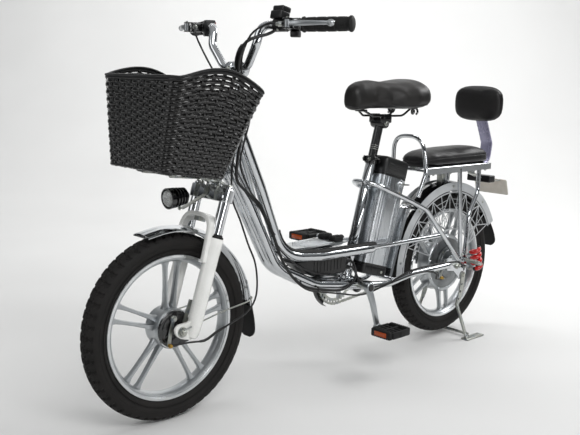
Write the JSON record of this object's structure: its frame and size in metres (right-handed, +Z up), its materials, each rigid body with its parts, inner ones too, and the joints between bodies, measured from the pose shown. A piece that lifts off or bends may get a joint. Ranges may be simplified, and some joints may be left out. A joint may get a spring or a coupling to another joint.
{
  "type": "electric bicycle",
  "caption": "Low step-through electric bicycle on its centre stand, with a front basket, an upright battery, a passenger seat with backrest and cast wheels.",
  "frame": {"origin": "on the floor under the middle of the whole bicycle: the centre of the bounding box's bottom face", "axes": "+X forward, +Y to the rider's left, +Z up; the floor z = 0 is touched by the front tyre and by the stand's two feet"},
  "size_m": [1.66, 0.6354, 1.0413],
  "materials": {
    "chrome": "polished plating",
    "cast_alloy": "cast, silver lacquer",
    "zinc_steel": "zinc plated",
    "black_enamel": "gloss enamel",
    "white_enamel": "gloss enamel",
    "black_rubber": "moulded, dull",
    "tyre_rubber": "treaded, dull",
    "black_plastic": "moulded, satin",
    "woven_plastic": "woven cane, glossy",
    "black_vinyl": "grained vinyl over foam",
    "brushed_aluminium": "extruded and brushed",
    "clear_lens": "clear plastic",
    "red_lens": "red plastic",
    "grey_plastic": "moulded, satin",
    "red_enamel": "gloss enamel"
  },
  "bodies": {
    "battery": {"battery_cap": "black_plastic", "battery_case": "brushed_aluminium"},
    "cranks": {"crankset": "cast_alloy"},
    "fork_slider": {"fork_lowers": "white_enamel", "front_brake_plate": "black_enamel", "front_mudflap": "black_rubber", "front_mudguard": "chrome"},
    "frame": {"backrest_bracket": "zinc_steel", "backrest_pad": "black_vinyl", "battery_dock": "black_plastic", "chain": "zinc_steel", "chain_guard": "black_plastic", "controller_box": "black_plastic", "footboard": "cast_alloy", "grab_hoop": "chrome", "left_skirt_guard": "grey_plastic", "left_tube_strip": "black_rubber", "lower_frame": "chrome", "passenger_seat": "black_vinyl", "rear_brake_cover": "cast_alloy", "rear_lamp": "black_plastic", "rear_mudflap": "black_rubber", "rear_mudguard": "black_enamel", "rear_rack": "chrome", "red_coil_spring": "red_enamel", "right_skirt_guard": "grey_plastic", "right_tube_strip": "black_rubber", "seat_stays_and_dropouts": "chrome", "upper_frame": "chrome"},
    "freewheel": {"freewheel": "zinc_steel"},
    "front_brake_arm": {"front_brake_arm": "zinc_steel"},
    "front_wheel": {"front_tyre": "tyre_rubber", "front_wheel_casting": "cast_alloy"},
    "horn_button": {"horn_button": "red_lens"},
    "key": {"ignition_key": "zinc_steel"},
    "left_footpeg": {"left_footpeg": "zinc_steel"},
    "left_lever": {"left_brake_lever": "cast_alloy"},
    "left_pedal": {"left_pedal": "black_rubber"},
    "rear_brake_arm": {"rear_brake_arm": "zinc_steel"},
    "rear_wheel": {"rear_tyre": "tyre_rubber", "rear_wheel_casting": "cast_alloy"},
    "right_footpeg": {"right_footpeg": "zinc_steel"},
    "right_lever": {"right_brake_lever": "cast_alloy"},
    "right_pedal": {"right_pedal": "black_rubber"},
    "saddle_post": {"saddle": "black_vinyl", "seatpost": "black_enamel"},
    "stand": {"centre_stand": "zinc_steel"},
    "steering": {"basket": "woven_plastic", "basket_bracket": "zinc_steel", "display_pod": "black_plastic", "fork_crown_and_stanchions": "chrome", "front_brake_cable": "black_rubber", "handlebar": "chrome", "headlight": "black_enamel", "headlight_lens": "clear_lens", "left_grip": "black_rubber", "left_lever_housing": "black_enamel", "right_lever_housing": "black_enamel", "stem": "chrome"},
    "throttle": {"throttle_grip": "black_rubber"}
  },
  "joints": [
    {"name": "steering_turn", "type": "hinge", "parent": "frame", "child": "steering", "pos_m": [0.55079, 0, 0.22801], "axis": [-0.2924, 0, 0.9563], "range_deg": [-40, 40]},
    {"name": "fork_slide", "type": "slide", "parent": "steering", "child": "fork_slider", "axis": [-0.2924, 0, 0.9563], "range_m": [0, 0.03], "stiffness_N_per_m": 8000, "springref_m": -0.02, "deforming": ["front_brake_cable"]},
    {"name": "front_wheel_spin", "type": "hinge", "parent": "fork_slider", "child": "front_wheel", "pos_m": [0.59, 0, 0.24], "axis": [0, 1, 0], "continuous": true},
    {"name": "rear_wheel_spin", "type": "hinge", "parent": "frame", "child": "rear_wheel", "pos_m": [-0.54, 0, 0.253], "axis": [0, 1, 0], "continuous": true},
    {"name": "crank_spin", "type": "hinge", "parent": "frame", "child": "cranks", "pos_m": [-0.078, 0, 0.252], "axis": [0, 1, 0], "continuous": true},
    {"name": "freewheel_spin", "type": "hinge", "parent": "frame", "child": "freewheel", "pos_m": [-0.54, 0, 0.253], "axis": [0, 1, 0], "continuous": true},
    {"name": "left_pedal_spin", "type": "hinge", "parent": "cranks", "child": "left_pedal", "pos_m": [-0.11216, 0, 0.1245], "axis": [0, 1, 0], "continuous": true},
    {"name": "right_pedal_spin", "type": "hinge", "parent": "cranks", "child": "right_pedal", "pos_m": [-0.04384, 0, 0.3795], "axis": [0, 1, 0], "continuous": true},
    {"name": "battery_slide", "type": "slide", "parent": "frame", "child": "battery", "axis": [-0.2672, 0, 0.9636], "range_m": [0, 0.07]},
    {"name": "key_turn", "type": "hinge", "parent": "battery", "child": "key", "pos_m": [-0.25815, 0.042, 0.54553], "axis": [0, 1, 0], "range_deg": [0, 90]},
    {"name": "saddle_post_slide", "type": "slide", "parent": "frame", "child": "saddle_post", "axis": [-0.2672, 0, 0.9636], "range_m": [-0.04, 0.06]},
    {"name": "throttle_twist", "type": "hinge", "parent": "steering", "child": "throttle", "pos_m": [0.27575, -0.31, 0.99549], "axis": [-0.4204, -0.9072, 0.0177], "range_deg": [0, 70], "stiffness_Nm_per_rad": 0.4, "springref_deg": -8.59},
    {"name": "left_lever_pull", "type": "hinge", "parent": "steering", "child": "left_lever", "pos_m": [0.38655, 0.19935, 0.99288], "axis": [0, 0, 1], "range_deg": [0, 11], "stiffness_Nm_per_rad": 0.8, "springref_deg": -5.73},
    {"name": "right_lever_pull", "type": "hinge", "parent": "steering", "child": "right_lever", "pos_m": [0.38655, -0.19935, 0.99288], "axis": [0, 0, -1], "range_deg": [0, 11], "stiffness_Nm_per_rad": 0.8, "springref_deg": -5.73},
    {"name": "front_brake_cam", "type": "hinge", "parent": "fork_slider", "child": "front_brake_arm", "pos_m": [0.59961, 0, 0.27013], "axis": [0, -1, 0], "range_deg": [0, 14.5]},
    {"name": "rear_brake_cam", "type": "hinge", "parent": "frame", "child": "rear_brake_arm", "pos_m": [-0.506, 0, 0.265], "axis": [0, -1, 0], "range_deg": [0, 14.5]},
    {"name": "horn_press", "type": "slide", "parent": "steering", "child": "horn_button", "axis": [0.9781, 0, 0.2079], "range_m": [0, 0.0015], "stiffness_N_per_m": 600, "springref_m": -0.001},
    {"name": "stand_fold", "type": "hinge", "parent": "frame", "child": "stand", "pos_m": [-0.574, 0, 0.214], "axis": [0, 1, 0], "range_deg": [0, 75]},
    {"name": "left_footpeg_fold", "type": "hinge", "parent": "frame", "child": "left_footpeg", "pos_m": [-0.554, 0.0885, 0.2742], "axis": [1, 0, 0], "range_deg": [0, 70]},
    {"name": "right_footpeg_fold", "type": "hinge", "parent": "frame", "child": "right_footpeg", "pos_m": [-0.554, -0.0885, 0.2742], "axis": [-1, 0, 0], "range_deg": [0, 70]}
  ],
  "couplings": [
    {"joint": "freewheel_spin", "follows": "crank_spin", "ratio": 2.25},
    {"joint": "front_brake_cam", "follows": "left_lever_pull", "ratio": 1.3},
    {"joint": "rear_brake_cam", "follows": "right_lever_pull", "ratio": 1.3}
  ]
}
